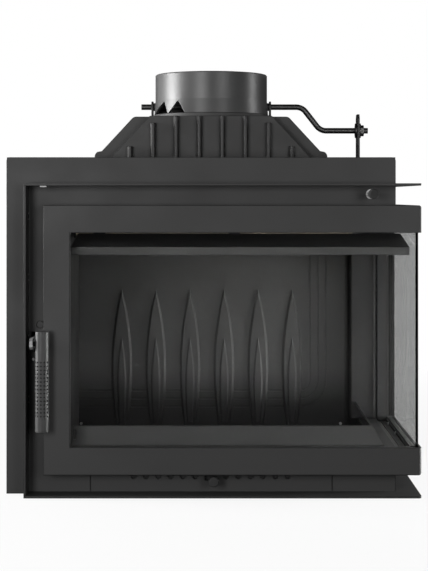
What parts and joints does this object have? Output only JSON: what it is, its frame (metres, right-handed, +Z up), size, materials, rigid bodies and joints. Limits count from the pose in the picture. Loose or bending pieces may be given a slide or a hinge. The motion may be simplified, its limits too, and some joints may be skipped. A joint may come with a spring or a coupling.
{
  "type": "fireplace insert",
  "caption": "Corner fireplace insert: steel body, L-shaped glazed door with a latch handle, cast back plate, grate and ash pan, finned hood, flue collar with damper, air slider.",
  "frame": {"origin": "on the floor, straight under the axis of the flue collar", "axes": "+X to the right side with the glass, +Y to the back, +Z up"},
  "size_m": [0.67, 0.499, 0.7035],
  "materials": {
    "black_paint": "matt heat-proof black paint",
    "cast_black": "matt painted casting",
    "inner_black": "matt black",
    "collar_paint": "satin grey-black paint",
    "zinc_steel": "plain steel",
    "satin_steel": "satin",
    "knob_black": "satin black",
    "glass": "clear",
    "rope": "braided rope",
    "vermiculite": "pressed board"
  },
  "bodies": {
    "body": {"base_plate": "black_paint", "casing_left": "black_paint", "casing_right": "black_paint", "casing_rear": "black_paint", "casing_top": "black_paint", "front_plate": "black_paint", "trim_left": "black_paint", "trim_top": "black_paint", "trim_bottom": "black_paint", "hood": "cast_black", "flue_ring": "cast_black", "flue_collar": "collar_paint", "shaft_bushes": "cast_black", "rod_bush": "zinc_steel", "rod_guide": "inner_black", "hinge_brackets": "black_paint", "hinge_pins": "zinc_steel", "keeper": "zinc_steel", "keeper_screws": "black_paint", "back_plate": "cast_black", "plate_screws": "zinc_steel", "liner_left": "inner_black", "rear_post": "black_paint", "firebox_top": "inner_black", "throat_duct": "inner_black", "baffle_plate": "vermiculite", "hangers": "inner_black", "air_deflector": "black_paint", "sill": "black_paint", "basin": "cast_black", "register_panel": "black_paint"},
    "door": {"door_frame": "black_paint", "door_inner_frame": "inner_black", "front_glass": "glass", "side_glass": "glass", "front_retainer": "inner_black", "side_retainer": "inner_black", "retainer_screws": "zinc_steel", "seal_channel": "inner_black", "door_seal": "rope", "hinge_leaves": "black_paint", "pivot_block": "inner_black"},
    "handle": {"handle_grip": "satin_steel", "handle_caps": "satin_steel", "handle_rod": "inner_black", "latch_hook": "zinc_steel", "handle_pivot": "zinc_steel"},
    "damper": {"damper_shaft": "zinc_steel", "damper_flap": "cast_black", "flap_saddles": "zinc_steel", "crank_washers": "zinc_steel", "crank_nut": "zinc_steel"},
    "damper_pull": {"lever_strip": "black_paint", "pull_rod": "zinc_steel", "damper_knob": "knob_black"},
    "air_control": {"air_slider": "inner_black", "air_knob": "knob_black"},
    "grate": {"grate": "cast_black"},
    "ash_pan": {"ash_pan": "zinc_steel"},
    "log_guard": {"log_guard": "black_paint"}
  },
  "joints": [
    {"name": "door_hinge", "type": "hinge", "parent": "body", "child": "door", "pos_m": [0.315, 0.125, 0.25], "axis": [0, 0, 1], "range_deg": [0, 95]},
    {"name": "handle_turn", "type": "hinge", "parent": "door", "child": "handle", "pos_m": [-0.2675, -0.241, 0.252], "axis": [-1, 0, 0], "range_deg": [0, 25]},
    {"name": "damper_turn", "type": "hinge", "parent": "body", "child": "damper", "pos_m": [0, 0, 0.642], "axis": [1, 0, 0], "range_deg": [-45, 45]},
    {"name": "damper_pull_slide", "type": "slide", "parent": "body", "child": "damper_pull", "axis": [0, 1, 0], "range_m": [-0.0305, 0.0305]},
    {"name": "air_slide", "type": "slide", "parent": "body", "child": "air_control", "axis": [-1, 0, 0], "range_m": [0, 0.01]},
    {"name": "grate_lift", "type": "slide", "parent": "body", "child": "grate", "axis": [0, 0, 1], "range_m": [0, 0.08]},
    {"name": "ash_pan_lift", "type": "slide", "parent": "body", "child": "ash_pan", "axis": [0, 0, 1], "range_m": [0, 0.08]},
    {"name": "log_guard_lift", "type": "slide", "parent": "body", "child": "log_guard", "axis": [0, 0, 1], "range_m": [0, 0.06]}
  ],
  "couplings": [
    {"joint": "damper_pull_slide", "follows": "damper_turn", "m_per_rad": 0.038825},
    {"joint": "ash_pan_lift", "follows": "grate_lift", "ratio": 1}
  ]
}
